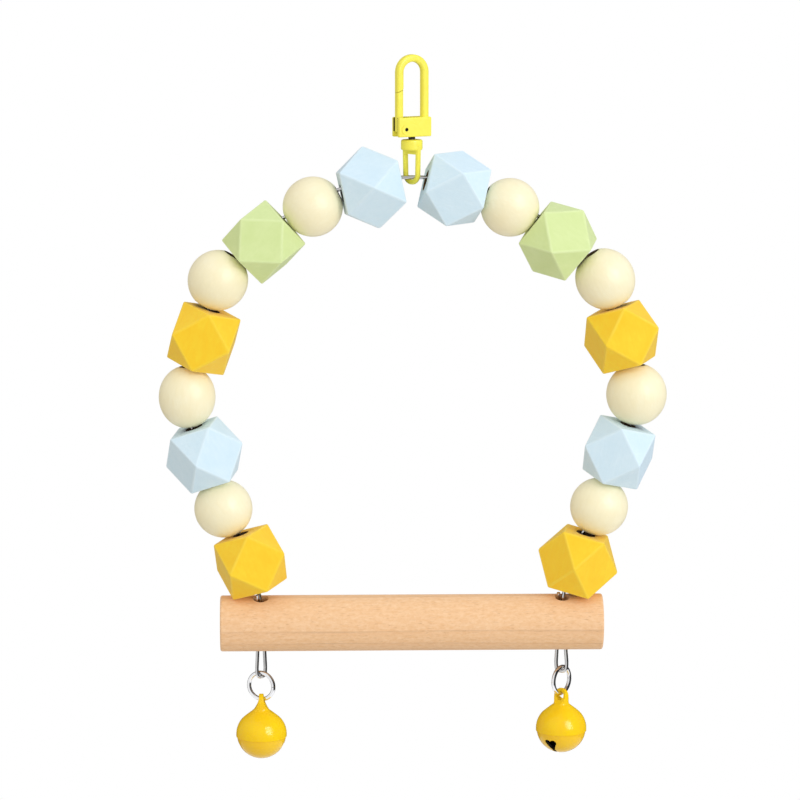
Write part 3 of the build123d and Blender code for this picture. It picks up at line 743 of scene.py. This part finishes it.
def enamel(name, colour, pooled, gloss, skin_size, painted_shade_mark=None):
    """Gloss enamel with a pooled, deeper tone; the last argument marks where near-black painted shade goes."""
    material, tree, shader = new_material(name, Specular_IOR_Level=0.25)
    place = add_node(tree, "ShaderNodeTexCoord").outputs["Object"]
    patches = place_group(tree, blotches, {"Place": place, "Size": 3.5 * MM, "Contrast": 0.55})
    skin = place_group(tree, dimples, {"Place": place, "Size": skin_size})
    body = mix_colour(tree, patches["Blotches"], colour, pooled)
    # Painted shade: near black where a hollow or gap lies.
    if painted_shade_mark:
        body = mix_colour(tree, painted_shade_mark(tree, place), body, PAINTED_SHADE_TONE)
    tree.links.new(body, shader.inputs["Base Color"])
    rough = remap(tree, patches["Blotches"], low=gloss - ENAMEL_SPREAD, high=gloss + ENAMEL_SPREAD)
    tree.links.new(rough, shader.inputs["Roughness"])
    bump = add_node(tree, "ShaderNodeBump", {
        "Strength": 1.0, "Distance": 0.028 * MM, "Height": skin["Dimples"],
    })
    tree.links.new(bump.outputs[0], shader.inputs["Normal"])
    return material


def inside_ball(centre, radius):
    """Marks what lies nearer to a centre than a radius, with a soft edge."""
    def mark(tree, place):
        away = calculate_vector(tree, "DISTANCE", place, centre)
        return remap(tree, away, radius - BALL_EDGE, radius, 1.0, 0.0)
    return mark


def near_axis(point, axis, radius):
    """Marks what lies nearer to a line than a radius, with a soft edge."""
    def mark(tree, place):
        offset = calculate_vector(tree, "SUBTRACT", place, point)
        away = calculate_vector(tree, "LENGTH", calculate_vector(tree, "CROSS_PRODUCT", offset, axis))
        return remap(tree, away, radius - AXIS_EDGE, radius, 1.0, 0.0)
    return mark


def on_flank(joint, reach, margin, bottom, top):
    """Marks two strips, a reach from a joint's middle plane give or take a margin, between two heights."""
    def mark(tree, place):
        offset = calculate_vector(tree, "SUBTRACT", place, joint["pos_m"])
        along = calculate(tree, "ABSOLUTE", calculate_vector(tree, "DOT_PRODUCT", offset, joint["axis"]))
        strip = calculate(tree, "COMPARE", along, reach, margin)
        rise = add_node(tree, "ShaderNodeSeparateXYZ", {0: place}).outputs["Z"]
        level = calculate(tree, "COMPARE", rise, (bottom + top) / 2, (top - bottom) / 2)
        return calculate(tree, "MULTIPLY", strip, level)
    return mark


def above(height):
    """Marks what lies above a height."""
    def mark(tree, place):
        rise = add_node(tree, "ShaderNodeSeparateXYZ", {0: place}).outputs["Z"]
        return calculate(tree, "GREATER_THAN", rise, height)
    return mark


print("enamel recipe ready")

# %% [markdown]
# The hook is lemon yellow and each bell has a golden cap and an amber cup. The
# places of painted shade are found from the joints: the slot from the gate's
# rivet and the gate's own width, the hollow of a bell from the middle its pellet rolls about.

# %% Make the enamels
LEMON = ((0.97, 0.89, 0.11), (0.95, 0.84, 0.08))
GOLD = ((0.985, 0.685, 0.009), (0.965, 0.590, 0.006))
AMBER = ((0.97, 0.615, 0.020), (0.95, 0.565, 0.018))
HOOK_SKIN = 0.8 * MM
BELL_SKIN = 0.9 * MM
CAP_HOLLOW = 4.56 * MM
CUP_HOLLOW = 4.73 * MM
RIVET_HOLLOW = 0.36 * MM
GATE_PLAY = 0.14 * MM
WALL_MARGIN = 0.02 * MM
FLANK_MARGIN = 0.20 * MM
rivet = joints["gate_pivot"]
rivet_place = Vector(rivet["pos_m"])
slot_top = rivet_place.z + 2.2 * MM
slot_middle = rivet_place.z - 0.4 * MM
slot_bottom = rivet_place.z - 1.5 * MM
post_bottom = joints["swivel"]["pos_m"][2] - 0.58 * MM
rivet_axis = Vector(rivet["axis"])
gate_half = max((vertex.co - rivet_place).dot(rivet_axis) for vertex in nodes["gate"].data.vertices)
# Painted shade on the hook: the slot's walls, the gate's flanks, the rivet's hollow and the swivel's post go near
# black.
slot_wall_shade = on_flank(rivet, gate_half + GATE_PLAY, WALL_MARGIN, slot_middle, slot_top)
gate_flank_shade = on_flank(rivet, gate_half, FLANK_MARGIN, slot_bottom, slot_top)
rivet_hollow_shade = near_axis(rivet["pos_m"], rivet["axis"], RIVET_HOLLOW)
enamels = {
    "snap_hook": enamel("hook_enamel", *LEMON, 0.30, HOOK_SKIN, slot_wall_shade),
    "gate": enamel("gate_enamel", *LEMON, 0.30, HOOK_SKIN, gate_flank_shade),
    "swivel_eye": enamel("swivel_enamel", *LEMON, 0.30, HOOK_SKIN, above(post_bottom)),
    "gate_rivet": enamel("rivet_enamel", *LEMON, 0.32, HOOK_SKIN, rivet_hollow_shade),
}
for side in ("left", "right"):
    bell_centre = joints[side + "_pellet_roll"]["pos_m"]
    for half, tones, hollow in (("cap", GOLD, CAP_HOLLOW), ("cup", AMBER, CUP_HOLLOW)):
        # Painted shade inside each bell: near black within the hollow round the pellet's middle.
        finish = enamel(f"{side}_{half}_enamel", *tones, 0.20, BELL_SKIN, inside_ball(bell_centre, hollow))
        enamels[f"{side}_bell_{half}"] = finish
print("enamels for", ", ".join(enamels))

# %% [markdown]
# ## Metal
# The wire, rings, spring and pellets are bare bright metal, drawn or tumbled,
# with fine rubbing marks that break up the mirror. One short recipe makes all
# four, with a few values each.

# %% Bright metal
RUB_SPREAD = 0.12


def bright_metal(name, colour, dull, polish, marks):
    """Bare metal with fine rubbing marks; marks is their length and width as a stretch per metre."""
    material, tree, shader = new_material(name, Metallic=1.0)
    place = add_node(tree, "ShaderNodeTexCoord").outputs["Object"]
    rubbed = place_group(tree, fibres, {"Place": place, "Stretch": marks})
    patches = place_group(tree, blotches, {"Place": place, "Size": 2.0 * MM, "Contrast": 0.5})
    tree.links.new(mix_colour(tree, patches["Blotches"], colour, dull), shader.inputs["Base Color"])
    rough = remap(tree, rubbed["Fibres"], low=polish, high=polish + RUB_SPREAD)
    tree.links.new(rough, shader.inputs["Roughness"])
    return material


metal_values = {
    "wire_steel": ((0.66, 0.655, 0.65), (0.54, 0.535, 0.53), 0.10, (2500.0, 2500.0, 700.0)),
    "ring_chrome": ((0.86, 0.86, 0.87), (0.80, 0.80, 0.81), 0.06, (1800.0, 1800.0, 1800.0)),
    "spring_steel": ((0.45, 0.45, 0.46), (0.38, 0.38, 0.40), 0.22, (3000.0, 3000.0, 3000.0)),
    "pellet_steel": ((0.42, 0.42, 0.43), (0.33, 0.33, 0.34), 0.30, (1500.0, 1500.0, 1500.0)),
}
finishes = {name: bright_metal(name, *values) for name, values in metal_values.items()}
finishes["perch_wood"] = perch_wood
print("finishes", ", ".join(finishes))

# %% [markdown]
# ## Dress the solids
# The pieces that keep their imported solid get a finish: an enamel by name, or
# else the metal or wood that the record names for them. The enamelled ones also
# catch the glint panel.

# %% Dress the remaining solids
dressed = 0
for entry in frame["record"]["subparts"]:
    finish = enamels.get(entry["node"]) or finishes.get(entry["material_slot"])
    if finish:
        solid = nodes[entry["node"]]
        solid.data.materials.clear()
        solid.data.materials.append(finish)
        if "enamel" in finish.name:
            glossy.objects.link(solid)
        dressed += 1
print("dressed", dressed, "solids")
